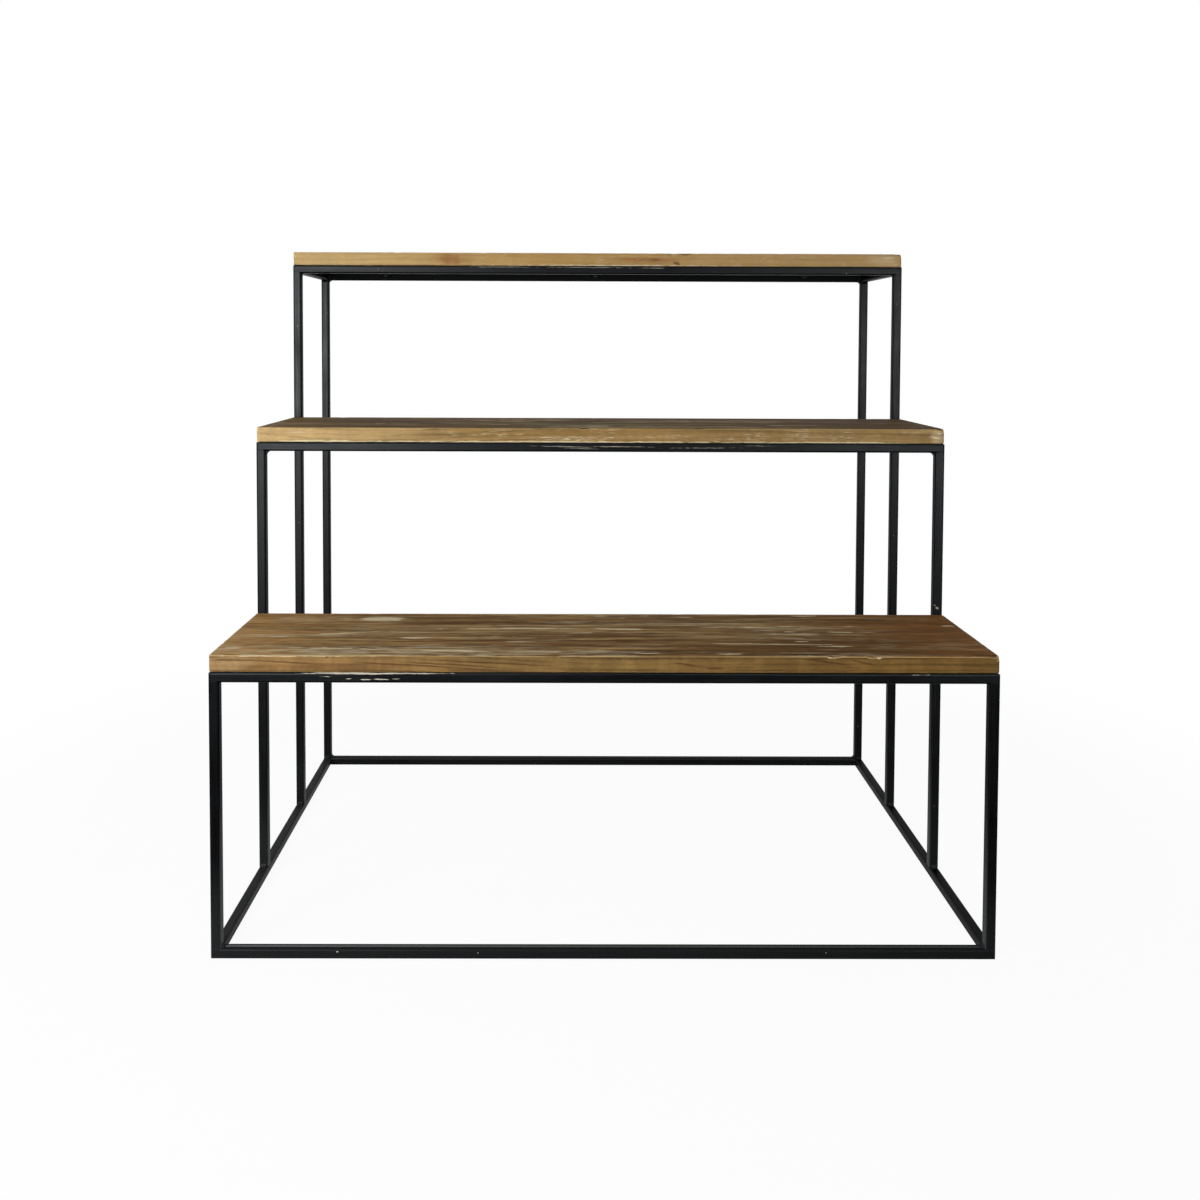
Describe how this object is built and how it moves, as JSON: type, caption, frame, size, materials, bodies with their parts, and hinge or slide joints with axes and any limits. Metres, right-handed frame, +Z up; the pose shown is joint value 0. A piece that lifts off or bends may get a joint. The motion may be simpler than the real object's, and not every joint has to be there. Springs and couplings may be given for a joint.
{
  "type": "display stand",
  "caption": "Stepped display stand: a black welded frame of square steel tube that carries equal wooden boards, each higher and further back than the last.",
  "frame": {"origin": "on the floor, under the middle of the stand", "axes": "+X to the right across the stand, +Y from its front to its back, +Z up"},
  "size_m": [0.7494, 0.4572, 0.6985],
  "materials": {
    "frame_paint": "satin black paint, lightly worn",
    "lower_board_wood": "brown stain with worn limewash streaks, open grain",
    "middle_board_wood": "brown stain, speckled, open grain",
    "upper_board_wood": "light brown stain, open grain with knots",
    "screw_black": "black zinc plate"
  },
  "bodies": {
    "root": {"base_front_rail": "frame_paint", "base_rear_rail": "frame_paint", "base_left_rail": "frame_paint", "base_right_rail": "frame_paint", "front_left_leg": "frame_paint", "front_right_leg": "frame_paint", "second_left_leg": "frame_paint", "second_right_leg": "frame_paint", "third_left_leg": "frame_paint", "third_right_leg": "frame_paint", "rear_left_leg": "frame_paint", "rear_right_leg": "frame_paint", "base_corner_welds": "frame_paint", "leg_foot_welds": "frame_paint", "lower_tier_front_rail": "frame_paint", "lower_tier_rear_rail": "frame_paint", "lower_tier_left_rail": "frame_paint", "lower_tier_right_rail": "frame_paint", "lower_tier_welds": "frame_paint", "lower_fixing_tabs": "frame_paint", "lower_board": "lower_board_wood", "lower_board_screws": "screw_black", "middle_tier_front_rail": "frame_paint", "middle_tier_rear_rail": "frame_paint", "middle_tier_left_rail": "frame_paint", "middle_tier_right_rail": "frame_paint", "middle_tier_welds": "frame_paint", "middle_fixing_tabs": "frame_paint", "middle_board": "middle_board_wood", "middle_board_screws": "screw_black", "upper_tier_front_rail": "frame_paint", "upper_tier_rear_rail": "frame_paint", "upper_tier_left_rail": "frame_paint", "upper_tier_right_rail": "frame_paint", "upper_tier_welds": "frame_paint", "upper_fixing_tabs": "frame_paint", "upper_board": "upper_board_wood", "upper_board_screws": "screw_black"}
  },
  "joints": []
}
